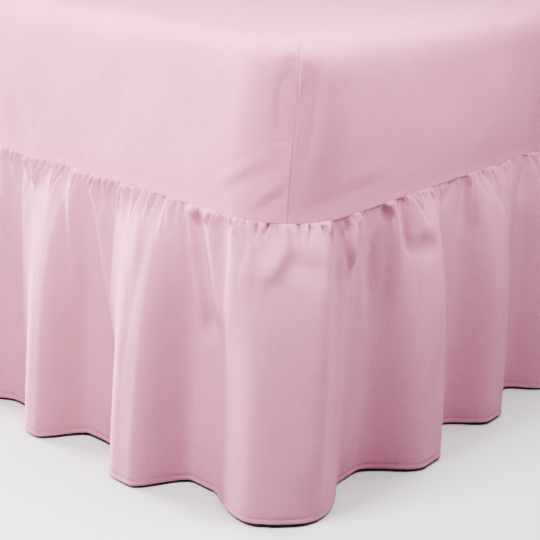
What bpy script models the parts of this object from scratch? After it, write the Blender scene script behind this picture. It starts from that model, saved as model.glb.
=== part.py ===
"""A fitted bed skirt on a double mattress and a plain bed base.

The skirt is two pieces of cloth. The fitted sheet is a deck with box sides, and a dart seam
closes each corner. The frill is one long strip, joined into a ring and gathered under the
lower edge of the sheet. It hangs in deep folds to just above the floor.

Metres, +Z up. The origin is on the floor under the middle of the bed. X runs across the bed
and Y along it, with the foot end at -Y. Distances round the bed are measured along the plan
outline of the mattress, from the middle of its foot right corner towards the head.
"""

import collections
import math
import random

import bmesh
import bpy
import numpy as np
from mathutils import Vector

# ---- Driving dimensions ----------------------------------------------------------------

BASE_HEIGHT = 0.400
BASE_INSET = 0.012  # the base stands back from the sides of the mattress
BASE_CORNER = 0.090
BASE_EDGE = 0.008

MATTRESS_WIDTH = 1.350
MATTRESS_LENGTH = 1.900
MATTRESS_HEIGHT = 0.245
MATTRESS_CORNER = 0.105  # radius of its four upright corners
MATTRESS_CROWN = 0.045  # radius of its soft top edge
MATTRESS_FOOT = 0.020  # radius of its bottom edge

GAP = 0.0003  # between two pieces that lie on each other
CLOTH_CLEAR = 0.002  # between hanging cloth and what it covers
CLOTH_THICK = 0.002
SIDE_BELLY = 0.003  # how far the box sides swell between the crown and the seam

SHEET_BOTTOM = 0.4135
SIDE_TOP = BASE_HEIGHT + MATTRESS_HEIGHT - MATTRESS_CROWN
DART_RIDGE = 0.0018  # how far the dart seam stands out from the cloth beside it
DART_PEAK = 0.0035  # the small ear of cloth where the dart ends on the deck
DART_HALF_ANGLE = 4.0  # degrees of the corner that the ridge takes, each side

FRILL_DROP = 0.408
FRILL_COLUMNS = 370
CLOSE_UP = 0.68  # the columns stand closer within this distance of the foot right corner
CLOSENESS = 0.9  # how much closer they stand there
HEM_UNEVEN = 0.0015

FOLD_PITCH = 0.205  # from one ridge of the hem to the next
FOLD_REACH = (0.074, 0.094)  # least and most that a ridge stands out
FOLD_TUCK = (0.018, 0.035)  # least and most that a valley stands out
FOLD_FLAT = (0.024, 0.046)  # least and most width of a valley's floor
FOLD_CREST = (0.014, 0.040)  # least and most width of a ridge's top
CORNER_PULL = 0.052  # most that a fold leans towards the corner nearest to it
PULL_START = 0.15  # a fold this far from a corner leans fully, a nearer one less
PULL_FADE = 0.70  # and the lean dies away over this distance
GATHERS = 100  # small folds under the seam, round the whole bed

CORNER_STEPS = (-45, -32, -20, -10, -4, -1.5, 0, 1.5, 4, 10, 20, 32, 45)  # degrees
CORNER_FACETS = 10
CROWN_FACETS = 5  # on the mattress and on the sheet over it, so that they stay parallel
EDGE_FACETS = 2
FINE_STEP = 0.028  # between the sheet's columns beside the foot right corner
FINE_COLUMNS = 10
PLAIN_COLUMNS = 9  # spans of the sheet along each plain side

# ---- Tables ----------------------------------------------------------------------------

Fold = collections.namedtuple("Fold", "valley flat tuck ridge crest reach lean")
Crease = collections.namedtuple("Crease", "top middle foot bend end height width side")
FrillRow = collections.namedtuple("FrillRow", "drop swing gather")
SheetRow = collections.namedtuple("SheetRow", "name inset below")
Drag = collections.namedtuple("Drag", "along height lean length width depth")

# Folds of the hem either side of the foot right corner. Each row is a valley and the ridge
# after it: how far round the bed their middles are at the hem, how wide the valley's floor
# and the ridge's top are, how far out from the mattress both stand, and how far the ridge has
# moved round the bed on its way down from the seam.
CORNER_FOLDS = (
    Fold(-0.480, flat=0.018, tuck=0.029, ridge=-0.386, crest=0.012, reach=0.089, lean=0.014),
    Fold(-0.298, flat=0.046, tuck=0.027, ridge=-0.187, crest=0.030, reach=0.094, lean=0.028),
    Fold(-0.095, flat=0.034, tuck=0.021, ridge=0.006, crest=0.040, reach=0.084, lean=0.000),
    Fold(0.126, flat=0.034, tuck=0.019, ridge=0.260, crest=0.046, reach=0.086, lean=-0.012),
    Fold(0.358, flat=0.030, tuck=0.027, ridge=0.462, crest=0.040, reach=0.080, lean=-0.018),
    Fold(0.562, flat=0.030, tuck=0.033, ridge=0.640, crest=0.030, reach=0.079, lean=-0.018),
)

# The creases that run down from the seam beside that corner. Each follows a line round the
# bed at the seam, at the drop where it bends, and at its end. It rises steeply on one side of
# the line to its height at its width, and falls off slowly. Side 1 rises towards the head on
# the right and -1 the other way, and a crease of side 0 is even, a trough if its height is
# negative.
CREASES = (
    Crease(-0.605, -0.585, -0.565, bend=0.080, end=0.26, height=0.0110, width=0.016, side=1),
    Crease(-0.462, -0.452, -0.458, bend=0.140, end=0.37, height=0.0065, width=0.014, side=1),
    Crease(-0.388, -0.360, -0.345, bend=0.085, end=0.21, height=0.0080, width=0.012, side=1),
    Crease(-0.344, -0.318, -0.225, bend=0.100, end=0.22, height=0.0060, width=0.012, side=1),
    Crease(-0.266, -0.228, -0.192, bend=0.110, end=0.33, height=0.0075, width=0.014, side=1),
    Crease(-0.155, -0.138, -0.116, bend=0.085, end=0.19, height=0.0095, width=0.012, side=1),
    Crease(-0.081, -0.066, -0.062, bend=0.090, end=0.33, height=0.0075, width=0.014, side=1),
    Crease(0.062, 0.050, 0.050, bend=0.120, end=0.37, height=0.0085, width=0.012, side=-1),
    Crease(0.184, 0.150, 0.156, bend=0.060, end=0.18, height=-0.0110, width=0.014, side=0),
    Crease(0.322, 0.280, 0.270, bend=0.100, end=0.36, height=0.0110, width=0.015, side=-1),
    Crease(0.502, 0.474, 0.466, bend=0.100, end=0.36, height=0.0115, width=0.016, side=-1),
    Crease(0.628, 0.622, 0.618, bend=0.060, end=0.20, height=0.0085, width=0.014, side=-1),
)
CREASE_LEAD = 0.15  # share of its length over which a crease grows
CREASE_TAIL = 0.35  # and over which it fades

# Rows of the frill from the seam down: the share of the hem's reach that the cloth has there,
# and the height of the small gathers, which fade out halfway down.
FRILL_ROWS = (
    FrillRow(drop=0.000, swing=0.00, gather=0.0000),
    FrillRow(drop=0.005, swing=0.00, gather=0.0003),
    FrillRow(drop=0.028, swing=0.24, gather=0.0050),
    FrillRow(drop=0.070, swing=0.45, gather=0.0075),
    FrillRow(drop=0.130, swing=0.64, gather=0.0060),
    FrillRow(drop=0.210, swing=0.80, gather=0.0030),
    FrillRow(drop=0.310, swing=0.92, gather=0.0008),
    FrillRow(drop=FRILL_DROP, swing=1.00, gather=0.0000),
)

# Soft drags in the box sides beside the foot right corner, where the dart pulls the cloth.
# Each is a trough: its middle round the bed and above the floor, its lean from level in
# degrees, and its size.
DRAGS = (
    Drag(along=-0.105, height=0.452, lean=28, length=0.110, width=0.016, depth=0.0030),
    Drag(along=-0.070, height=0.440, lean=36, length=0.090, width=0.013, depth=0.0025),
    Drag(along=0.105, height=0.462, lean=-24, length=0.120, width=0.018, depth=0.0020),
    Drag(along=0.060, height=0.560, lean=70, length=0.120, width=0.030, depth=0.0025),
    Drag(along=-0.045, height=0.565, lean=-76, length=0.110, width=0.026, depth=0.0025),
    Drag(along=-0.520, height=0.470, lean=82, length=0.120, width=0.022, depth=0.0020),
)

# ---- Plan outline of the mattress ------------------------------------------------------

HALF_WIDTH = MATTRESS_WIDTH / 2
HALF_LENGTH = MATTRESS_LENGTH / 2
HALF_TURN = MATTRESS_CORNER * math.pi / 4  # outline length of half a corner
STRAIGHTS = tuple(2 * (half - MATTRESS_CORNER) for half in (HALF_LENGTH, HALF_WIDTH) * 2)
PERIMETER = sum(STRAIGHTS) + 8 * HALF_TURN
CORNER_SIGNS = ((1, -1), (1, 1), (-1, 1), (-1, -1))


def outline(along):
    """The plan point at this distance round the bed, and the direction straight out."""
    along %= PERIMETER
    side = 0
    while side < 3 and along >= STRAIGHTS[side] + 2 * HALF_TURN:
        along -= STRAIGHTS[side] + 2 * HALF_TURN
        side += 1
    straight = STRAIGHTS[side]
    run = min(max(along - HALF_TURN, 0.0), straight)
    facing = side * math.pi / 2
    angle = facing + (along - HALF_TURN - run) / MATTRESS_CORNER
    out = Vector((math.cos(angle), math.sin(angle)))
    sign_x, sign_y = CORNER_SIGNS[side]
    turn_centre = Vector(
        (sign_x * (HALF_WIDTH - MATTRESS_CORNER), sign_y * (HALF_LENGTH - MATTRESS_CORNER))
    )
    travel = Vector((-math.sin(facing), math.cos(facing)))
    return turn_centre + travel * run + out * MATTRESS_CORNER, out


def corner_distances():
    """How far round the bed the middle of each corner is."""
    found = [0.0]
    for straight in STRAIGHTS[:3]:
        found.append(found[-1] + straight + 2 * HALF_TURN)
    return found


def from_corner(along, corner=0.0):
    """Signed distance from a corner, the short way round."""
    return (along - corner + PERIMETER / 2) % PERIMETER - PERIMETER / 2


# ---- Building ---------------------------------------------------------------------------


def clear_scene():
    for obj in list(bpy.data.objects):
        bpy.data.objects.remove(obj, do_unlink=True)
    for mesh in list(bpy.data.meshes):
        bpy.data.meshes.remove(mesh)


def make_collection(name):
    collection = bpy.data.collections.new(name)
    bpy.context.scene.collection.children.link(collection)
    return collection


def make_material(name, colour, roughness):
    material = bpy.data.materials.new(name)
    material.use_nodes = True
    surface = material.node_tree.nodes["Principled BSDF"]
    surface.inputs["Base Color"].default_value = (*colour, 1.0)
    surface.inputs["Roughness"].default_value = roughness
    surface.inputs["Metallic"].default_value = 0.0
    return material


def add_object(name, mesh, collection, material):
    obj = bpy.data.objects.new(name, mesh)
    collection.objects.link(obj)
    mesh.materials.append(material)
    mesh.shade_smooth()
    return obj


def mesh_of(name, points, faces):
    mesh = bpy.data.meshes.new(name)
    mesh.from_pydata([tuple(point) for point in points], [], faces)
    mesh.validate()
    return mesh


def ring_faces(rows, columns):
    """Quads that join one closed ring of points to the next."""
    faces = []
    for row in range(rows - 1):
        upper = row * columns
        lower = upper + columns
        for column in range(columns):
            after = (column + 1) % columns
            faces.append((upper + column, lower + column, lower + after, upper + after))
    return faces


def add_thickness(obj, thickness, offset):
    solidify = obj.modifiers.new("Cloth thickness", "SOLIDIFY")
    solidify.thickness = thickness
    solidify.offset = offset
    solidify.use_even_offset = True
    return solidify


def rounded_block(name, size, floor, corner, top_edge, top_facets, bottom_edge):
    """A block standing at height floor, with its upright corners rounded and then its edges."""
    shape = bmesh.new()
    bmesh.ops.create_cube(shape, size=1.0)
    bmesh.ops.scale(shape, vec=size, verts=shape.verts)
    bmesh.ops.translate(shape, vec=(0, 0, floor + size[2] / 2), verts=shape.verts)

    def is_upright(edge):
        first, second = edge.verts
        return abs(first.co.z - second.co.z) > size[2] / 2

    def bevel(edges, radius, segments):
        bmesh.ops.bevel(
            shape,
            geom=edges,
            offset=radius,
            offset_type="OFFSET",
            segments=segments,
            profile=0.5,
            affect="EDGES",
            clamp_overlap=True,
        )

    bevel([edge for edge in shape.edges if is_upright(edge)], corner, CORNER_FACETS)
    rims = (
        (floor + size[2], top_edge, top_facets),
        (floor, bottom_edge, EDGE_FACETS),
    )
    for level, radius, segments in rims:
        rim = [
            edge
            for edge in shape.edges
            if all(abs(vert.co.z - level) < 1e-6 for vert in edge.verts)
        ]
        bevel(rim, radius, segments)

    mesh = bpy.data.meshes.new(name)
    shape.to_mesh(mesh)
    shape.free()
    return mesh


# ---- The sheet --------------------------------------------------------------------------


def sheet_columns():
    """Distances round the bed: close together at each corner, and beside the foot right one."""
    found = []
    for corner, straight in zip(corner_distances(), STRAIGHTS):
        found += [corner + math.radians(step) * MATTRESS_CORNER for step in CORNER_STEPS]
        for step in range(1, PLAIN_COLUMNS):
            found.append(corner + HALF_TURN + straight * step / PLAIN_COLUMNS)
    fine_end = HALF_TURN + FINE_STEP * (FINE_COLUMNS + 1)
    found = [
        along for along in found if not HALF_TURN < min(along, PERIMETER - along) < fine_end
    ]
    for step in range(1, FINE_COLUMNS + 1):
        found += [HALF_TURN + FINE_STEP * step, -HALF_TURN - FINE_STEP * step]
    return sorted({round(along % PERIMETER, 6) for along in found})


def sheet_rows():
    """Rings of the sheet's inside, from the flat of the deck over the crown to the lower edge."""
    inside_crown = MATTRESS_CROWN + CLOTH_CLEAR
    rows = [SheetRow("deck", 0.090, 0.0)]
    for step in range(CROWN_FACETS + 1):
        angle = step / CROWN_FACETS * math.pi / 2
        inset = inside_crown * (1 - math.sin(angle)) - CLOTH_CLEAR
        rows.append(SheetRow("crown", inset, inside_crown * (1 - math.cos(angle))))
    deck = BASE_HEIGHT + GAP + MATTRESS_HEIGHT + GAP
    for height in (0.568, 0.535, 0.505, 0.480, 0.460, 0.442, 0.426, SHEET_BOTTOM):
        rows.append(SheetRow("side", -CLOTH_CLEAR, deck - height))
    return deck, rows


def drag_depth(along, height):
    """How far the soft drags press the box side in at this place."""
    along = from_corner(along)
    total = 0.0
    for drag in DRAGS:
        lean = math.radians(drag.lean)
        right, up = along - drag.along, height - drag.height
        lengthwise = (right * math.cos(lean) + up * math.sin(lean)) / (drag.length / 2)
        across = (up * math.cos(lean) - right * math.sin(lean)) / (drag.width / 2)
        total += drag.depth * math.exp(-(lengthwise**2) - across**2)
    return total


def dart_share(along):
    """1 on the dart seam of a corner, falling to 0 a few degrees either side."""
    half = math.radians(DART_HALF_ANGLE) * MATTRESS_CORNER
    nearest = min(abs(from_corner(along, corner)) for corner in corner_distances())
    return max(0.0, 1 - nearest / half)


def build_sheet(collection, material):
    columns = sheet_columns()
    deck, rows = sheet_rows()
    points = []
    for row in rows:
        for along in columns:
            plan, out = outline(along)
            height = deck - row.below
            reach = -row.inset
            if row.name == "side":
                share = (height - SHEET_BOTTOM) / (SIDE_TOP - SHEET_BOTTOM)
                belly = SIDE_BELLY * math.sin(math.pi * min(share, 1.0)) ** 0.5
                reach += belly - min(drag_depth(along, height), belly)
                reach += DART_RIDGE * dart_share(along)
            elif row.name == "crown":
                height += DART_PEAK * dart_share(along) * math.exp(-row.below / 0.02)
            points.append((*(plan + out * reach), height))
    faces = ring_faces(len(rows), len(columns))
    faces.append(tuple(range(len(columns))))
    sheet = add_object("sheet", mesh_of("sheet", points, faces), collection, material)
    add_thickness(sheet, CLOTH_THICK, 1.0)
    return sheet


# ---- The frill --------------------------------------------------------------------------


def ease(share):
    """0 to 1 with a soft start and a soft end."""
    share = np.clip(share, 0.0, 1.0)
    return share * share * (3 - 2 * share)


def corner_pull(along):
    """How far a ridge leans towards the corner nearest to it, which takes more cloth."""
    nearest = min((from_corner(along, corner) for corner in corner_distances()), key=abs)
    share = min(abs(nearest) / PULL_START, 1.0) * math.exp(-abs(nearest) / PULL_FADE)
    return -math.copysign(CORNER_PULL * share, nearest)


def all_folds():
    """The folds of the whole hem: the ones beside the foot right corner, then uneven ones."""
    spread = random.Random(11)
    folds = list(CORNER_FOLDS)
    start = CORNER_FOLDS[-1].ridge
    stops = corner_distances()[1:] + [PERIMETER + CORNER_FOLDS[0].valley - FOLD_PITCH / 2]
    for stop in stops:
        count = round((stop - start) / FOLD_PITCH)
        pitch = (stop - start) / count
        for index in range(1, count + 1):
            wander = 0.0 if index == count else spread.uniform(-0.13, 0.13)
            ridge = start + pitch * (index + wander)
            valley = (folds[-1].ridge + ridge) / 2 + pitch * spread.uniform(-0.08, 0.08)
            tuck = spread.uniform(*FOLD_TUCK)
            reach = spread.uniform(*FOLD_REACH)
            flat = spread.uniform(*FOLD_FLAT)
            crest = spread.uniform(*FOLD_CREST)
            folds.append(Fold(valley, flat, tuck, ridge, crest, reach, corner_pull(ridge)))
        start = stop
    return folds


def half_waves(along, places, values):
    """Values stated at places round the bed, joined by half waves, once round."""
    places = np.array([*places, places[0] + PERIMETER])
    values = np.array([*values, values[0]])
    along = (along - places[0]) % PERIMETER + places[0]
    index = np.clip(np.searchsorted(places, along, side="right") - 1, 0, len(places) - 2)
    share = (along - places[index]) / (places[index + 1] - places[index])
    rise = (1 - np.cos(share * math.pi)) / 2
    return values[index] + (values[index + 1] - values[index]) * rise


def fold_lean(along, folds):
    """How far round the bed each column moves between the seam and the hem."""
    return half_waves(along, [fold.ridge for fold in folds], [fold.lean for fold in folds])


def hem_reach(along, folds):
    """How far out the hem stands, from each valley's floor to each ridge's top and back."""
    places = []
    reaches = []
    for fold in folds:
        places += [fold.valley - fold.flat / 2, fold.valley + fold.flat / 2]
        places += [fold.ridge - fold.crest / 2, fold.ridge + fold.crest / 2]
        reaches += [fold.tuck, fold.tuck, fold.reach, fold.reach]
    return half_waves(along, places, reaches)


def crease_height(along, drop):
    """How far the creases stand out from the folds at this drop."""
    along = from_corner(along)
    total = np.zeros_like(along)
    for crease in CREASES:
        line = np.interp(
            drop, (0.0, crease.bend, crease.end), (crease.top, crease.middle, crease.foot)
        )
        away = (along - line) / crease.width
        if crease.side:
            away = np.maximum(away * crease.side, 0.0)
            profile = away * np.exp(1 - away)
        else:
            profile = np.exp(-(away**2))
        share = drop / crease.end
        taper = ease(share / CREASE_LEAD) * ease((1 - share) / CREASE_TAIL)
        total += crease.height * taper * profile
    return total


def frill_columns():
    """Distances round the bed, closer together on both sides of the foot right corner."""
    place = np.linspace(0.0, PERIMETER, 4001)
    density = 1 + CLOSENESS * (np.abs(from_corner(place)) < CLOSE_UP)
    total = np.concatenate([[0.0], np.cumsum(density[1:])])
    return np.interp(np.arange(FRILL_COLUMNS) / FRILL_COLUMNS * total[-1], total, place)


def small_gathers(along):
    """Uneven small folds, between -1 and 1, that meet themselves after one trip round."""
    turn = 2 * math.pi * along / PERIMETER
    drift = 1.6 * np.sin(7 * turn + 0.4) + 0.9 * np.sin(17 * turn + 2.0)
    size = 0.75 + 0.25 * np.sin(11 * turn + 1.0)
    return size * np.cos(GATHERS * turn + drift)


def build_frill(collection, material):
    folds = all_folds()
    columns = frill_columns()
    lean = fold_lean(columns, folds)
    reach = hem_reach(columns + lean, folds)
    gathers = small_gathers(columns)
    middle = CLOTH_CLEAR + CLOTH_CLEAR / 2 + CLOTH_THICK / 2
    top = SHEET_BOTTOM - 2 * GAP
    points = []
    for row in FRILL_ROWS:
        along = columns + lean * row.swing
        stands = middle + (reach - middle) * row.swing
        stands = stands + row.gather * gathers + crease_height(along, row.drop)
        stands = np.maximum(stands, middle)
        sag = HEM_UNEVEN * row.swing * gathers
        for place, out_by, rise in zip(along, stands, sag):
            plan, out = outline(place)
            points.append((*(plan + out * out_by), top - row.drop + rise))
    faces = ring_faces(len(FRILL_ROWS), FRILL_COLUMNS)
    frill = add_object("frill", mesh_of("frill", points, faces), collection, material)
    add_thickness(frill, CLOTH_THICK, 0.0)
    return frill


# ---- The whole ---------------------------------------------------------------------------


def build():
    clear_scene()
    skirted_bed = make_collection("Fitted bed skirt")
    polycotton = make_material("Pink polycotton", (0.70, 0.46, 0.54), 0.85)
    ticking = make_material("Mattress ticking", (0.80, 0.79, 0.75), 0.80)
    upholstery = make_material("Base upholstery", (0.55, 0.53, 0.50), 0.85)

    base = rounded_block(
        "base",
        (MATTRESS_WIDTH - 2 * BASE_INSET, MATTRESS_LENGTH - 2 * BASE_INSET, BASE_HEIGHT),
        floor=0.0,
        corner=BASE_CORNER,
        top_edge=BASE_EDGE,
        top_facets=EDGE_FACETS,
        bottom_edge=BASE_EDGE,
    )
    mattress = rounded_block(
        "mattress",
        (MATTRESS_WIDTH, MATTRESS_LENGTH, MATTRESS_HEIGHT),
        floor=BASE_HEIGHT + GAP,
        corner=MATTRESS_CORNER,
        top_edge=MATTRESS_CROWN,
        top_facets=CROWN_FACETS,
        bottom_edge=MATTRESS_FOOT,
    )
    add_object("base", base, skirted_bed, upholstery)
    add_object("mattress", mattress, skirted_bed, ticking)
    build_sheet(skirted_bed, polycotton)
    build_frill(skirted_bed, polycotton)


build()
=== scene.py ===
# %% [markdown]
# # A fitted bed skirt on a mattress and a bed base
#
# A pale pink bed skirt, also called a fitted valance sheet, is two pieces of polycotton: a
# fitted sheet with box sides, and a long frill gathered under its lower edge. We load the packed
# solids as a fixed frame, and dress them with cloth that is thin, gathered, creased and woven.

# %% Load the frame
import math
import random

import bmesh
import bpy
import numpy as np
from mathutils import Matrix, Vector


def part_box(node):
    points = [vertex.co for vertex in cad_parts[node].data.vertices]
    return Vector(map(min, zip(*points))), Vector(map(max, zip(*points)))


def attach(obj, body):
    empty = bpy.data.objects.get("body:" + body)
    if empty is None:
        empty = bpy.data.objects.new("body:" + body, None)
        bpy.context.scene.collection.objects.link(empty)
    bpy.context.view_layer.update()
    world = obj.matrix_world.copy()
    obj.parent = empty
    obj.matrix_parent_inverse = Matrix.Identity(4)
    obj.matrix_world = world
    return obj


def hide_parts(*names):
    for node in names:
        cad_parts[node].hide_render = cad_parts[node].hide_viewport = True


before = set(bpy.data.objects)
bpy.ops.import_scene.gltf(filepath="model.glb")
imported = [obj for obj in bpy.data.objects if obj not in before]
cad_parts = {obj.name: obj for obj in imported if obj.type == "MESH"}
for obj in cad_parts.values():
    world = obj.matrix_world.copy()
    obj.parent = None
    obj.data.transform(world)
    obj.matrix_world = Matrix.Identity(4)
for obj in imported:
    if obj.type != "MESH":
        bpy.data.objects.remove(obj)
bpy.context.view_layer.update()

print("frame nodes:", sorted(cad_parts))

# %% [markdown]
# ## Sizes that everything hangs on
#
# The cloth sits on the solids, so the size of the bed is read from the frame. Only what belongs
# to the cloth itself is stated, in metres.

# %% Sizes
HALF_WIDTH, HALF_LENGTH, MATTRESS_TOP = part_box("mattress")[1]
CORNER = 0.105  # plan radius of the mattress corners
CROWN = 0.045  # radius of the soft top edge
SEAM_HEIGHT = 0.4135  # where the sheet ends and the frill begins
HEM_HEIGHT = 0.0045
DROP = SEAM_HEIGHT - HEM_HEIGHT
CLOTH_OUT = 0.0035  # how far the sheet stands out from the mattress

print("mattress half size:", round(HALF_WIDTH, 4), round(HALF_LENGTH, 4))
print("drop of the frill:", round(DROP, 4))

# %% [markdown]
# ## One measure round the bed
#
# A frill is sewn along a line, so a fold is placed by how far along that line it is. We measure
# round the mattress from the middle of its foot right corner: a negative distance lies on the
# foot end, a positive one on the long side. NumPy works on all the frill's points at once.

# %% The outline of the mattress
HALF_TURN = CORNER * math.pi / 4
STRAIGHTS = np.array([HALF_LENGTH - CORNER, HALF_WIDTH - CORNER] * 2) * 2
SIDE_STARTS = np.concatenate([[0.0], np.cumsum(STRAIGHTS + 2 * HALF_TURN)])
PERIMETER = SIDE_STARTS[-1]
CORNERS = SIDE_STARTS[:4]
TURN_CENTRES = np.array([(1, -1), (1, 1), (-1, 1), (-1, -1)]) * (
    HALF_WIDTH - CORNER,
    HALF_LENGTH - CORNER,
)


def outline(along):
    """Plan points of the mattress at these distances round it, and the outward directions."""
    along = np.asarray(along) % PERIMETER
    side = np.clip(np.searchsorted(SIDE_STARTS, along, side="right") - 1, 0, 3)
    local = along - SIDE_STARTS[side] - HALF_TURN
    run = np.clip(local, 0.0, STRAIGHTS[side])
    facing = side * math.pi / 2
    angle = facing + (local - run) / CORNER
    out = np.stack([np.cos(angle), np.sin(angle)], axis=-1)
    travel = np.stack([-np.sin(facing), np.cos(facing)], axis=-1)
    return TURN_CENTRES[side] + travel * run[..., None] + out * CORNER, out


def from_corner(along, corner=0.0):
    """Signed distance from a corner, the short way round."""
    return (np.asarray(along) - corner + PERIMETER / 2) % PERIMETER - PERIMETER / 2


print("once round the bed:", round(PERIMETER, 3), "m")

# %% [markdown]
# ## Smooth steps between stated places
#
# Folds are stated as ridges and valleys. Cloth rounds off between them, so we join the stated
# values with half waves: level at each place and steepest halfway.

# %% Joining stated values


def half_waves(along, places, values):
    """Values at these distances round the bed, joined by half waves and closed into a ring."""
    order = np.argsort(places)
    places, values = places[order], values[order]
    places = np.append(places, places[0] + PERIMETER)
    values = np.append(values, values[0])
    along = (along - places[0]) % PERIMETER + places[0]
    index = np.clip(np.searchsorted(places, along, side="right") - 1, 0, len(places) - 2)
    share = (along - places[index]) / (places[index + 1] - places[index])
    rise = (1 - np.cos(share * math.pi)) / 2
    return values[index] + (values[index + 1] - values[index]) * rise


def ease(share):
    """0 to 1 with a soft start and a soft end."""
    share = np.clip(share, 0.0, 1.0)
    return share * share * (3 - 2 * share)


# %% [markdown]
# ## The big folds of the hem
#
# The frill is cut almost a third longer than the bed is round. At the seam that spare length
# sits in about a thousand tiny pleats. At the floor it has run together into folds about 200 mm
# apart. Seen from above, the hem is a row of flat valley floors and rounded ridge tops with steep
# flanks between them. The folds beside the foot right corner are stated one by one. Each has its
# valley and ridge, the width of the valley's floor and of the ridge's top, how far the two stand
# out, and its lean: how far the ridge moves towards the corner between the seam and the floor,
# because a corner takes more cloth than a straight side. The others are drawn from a seeded
# random generator, so each run gives the same bed.

# %% Big folds
CORNER_FOLDS = [
    # valley, width of its floor, tuck, ridge, width of its top, reach, lean
    (-0.48, 0.018, 0.029, -0.386, 0.012, 0.089, 0.014),
    (-0.298, 0.046, 0.027, -0.187, 0.03, 0.094, 0.028),
    (-0.095, 0.034, 0.021, 0.001, 0.034, 0.085, 0),
    (0.126, 0.038, 0.019, 0.255, 0.038, 0.087, -0.012),
    (0.352, 0.042, 0.027, 0.457, 0.03, 0.081, -0.018),
    (0.556, 0.034, 0.033, 0.64, 0.03, 0.079, -0.018),
]
FOLD_PITCH = 0.205
FOLD_REACH = (0.074, 0.094)
FOLD_TUCK = (0.018, 0.035)
FOLD_FLAT = (0.024, 0.046)
FOLD_CREST = (0.014, 0.040)
RIDGE_WANDER = 0.13  # how unevenly ridges and valleys are spread, as shares of the pitch
VALLEY_WANDER = 0.08
MOST_LEAN = 0.052
LEAN_GROWS = 0.15  # the lean grows within this distance of a corner
LEAN_FADES = 0.7  # and dies away over this one
FOLD_SEED, GATHER_SEED, WAVE_SEED = 11, 29, 5


def corner_pull(along):
    """How far a fold leans towards the nearest corner on its way down."""
    nearest = min((from_corner(along, corner) for corner in CORNERS), key=abs)
    share = min(abs(nearest) / LEAN_GROWS, 1.0) * math.exp(-abs(nearest) / LEAN_FADES)
    return -math.copysign(MOST_LEAN * share, nearest)


def all_folds():
    """The stated folds, then random ones that put a ridge on each of the other corners."""
    spread = random.Random(FOLD_SEED)
    folds = list(CORNER_FOLDS)
    start = CORNER_FOLDS[-1][3]
    last = PERIMETER + CORNER_FOLDS[0][0] - FOLD_PITCH / 2
    for stop in [*CORNERS[1:], last]:
        count = round((stop - start) / FOLD_PITCH)
        pitch = (stop - start) / count
        for index in range(1, count + 1):
            wander = 0.0 if index == count else spread.uniform(-RIDGE_WANDER, RIDGE_WANDER)
            ridge = start + pitch * (index + wander)
            valley = (folds[-1][3] + ridge) / 2
            valley += pitch * spread.uniform(-VALLEY_WANDER, VALLEY_WANDER)
            tuck, reach = spread.uniform(*FOLD_TUCK), spread.uniform(*FOLD_REACH)
            flat, crest = spread.uniform(*FOLD_FLAT), spread.uniform(*FOLD_CREST)
            folds.append((valley, flat, tuck, ridge, crest, reach, corner_pull(ridge)))
        start = stop
    return np.array(folds)


FOLDS = all_folds()
valleys, flats, tucks, ridges, crests, reaches, leans = FOLDS.T
hem_places = np.concatenate(
    [valleys - flats / 2, valleys + flats / 2, ridges - crests / 2, ridges + crests / 2]
)
hem_reaches = np.concatenate([tucks, tucks, reaches, reaches])
print(len(FOLDS), "big folds, mean pitch", round(PERIMETER / len(FOLDS), 3), "m")

# %% [markdown]
# ## From the seam to the floor
#
# Below the seam the cloth swings out from the bed, quickly at first and then more and more
# upright. A table says how much of the hem's reach it has at each drop, and a monotone cubic
# draws a smooth curve through it, so no row shows as a kink.

# %% The swing of the frill


def smooth_curve(at, places, values):
    """A smooth curve through stated values that never overshoots them."""
    places, values = np.array(places), np.array(values)
    step = np.diff(places)
    slope = np.diff(values) / step
    inner = 2 * slope[1:] * slope[:-1] / (slope[1:] + slope[:-1])
    slopes = np.concatenate([slope[:1], inner, slope[-1:]])
    at = np.clip(at, places[0], places[-1])
    index = np.clip(np.searchsorted(places, at, side="right") - 1, 0, len(step) - 1)
    t = (at - places[index]) / step[index]
    return (
        values[index] * (1 + 2 * t) * (1 - t) ** 2
        + values[index + 1] * t * t * (3 - 2 * t)
        + slopes[index] * step[index] * t * (1 - t) ** 2
        - slopes[index + 1] * step[index] * t * t * (1 - t)
    )


SWING = [(0.0, 0.0), (0.005, 0.015), (0.028, 0.23), (0.07, 0.45), (0.13, 0.64), (0.21, 0.80),
         (0.31, 0.92), (0.41, 1.0)]


def swing(drop):
    return smooth_curve(drop, *zip(*SWING))


print("share of the reach 50 mm under the seam:", round(float(swing(0.05)), 2))

# %% [markdown]
# ## Gathers that run together
#
# A gathering thread draws the top edge into pleats about 6 mm apart. Just below the seam two or
# three of these run together into one, those run together again, until only the big folds are
# left. So each level groups the crests of the one before, and each crest drifts towards its
# group's middle while it fades. That gives the V and Y shapes that plain noise never does.

# %% Levels of gathers
FINE_PITCH = 0.0058
LEVELS = [
    # height, share at the seam, drop of the peak, least and most drop at which it has faded
    (0.0014, 0.45, 0.0030, (0.007, 0.018)),
    (0.0034, 0.12, 0.0100, (0.018, 0.060)),
    (0.0045, 0.00, 0.0300, (0.055, 0.150)),
    (0.0080, 0.00, 0.1100, (0.240, 0.400)),
]
GROUP_SIZES = (2, 2, 3)
CREST_WANDER = 0.32  # share of the pitch
HEIGHT_SPREAD = (0.45, 1.35)
RUN_TOGETHER = 0.9  # share of the way to its group's middle that a crest drifts
PLEAT_FULL = 0.25  # where across one pleat it is fullest
PLEAT_FALLS = 0.6  # and where it starts to fall off to the next pinch
PLEAT_SINK = 0.9  # lowers the pleats, so that they are hollow as often as full
TURN_ROUND = 0.06  # pleats face the other way past a corner, and turn round over this distance


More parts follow.
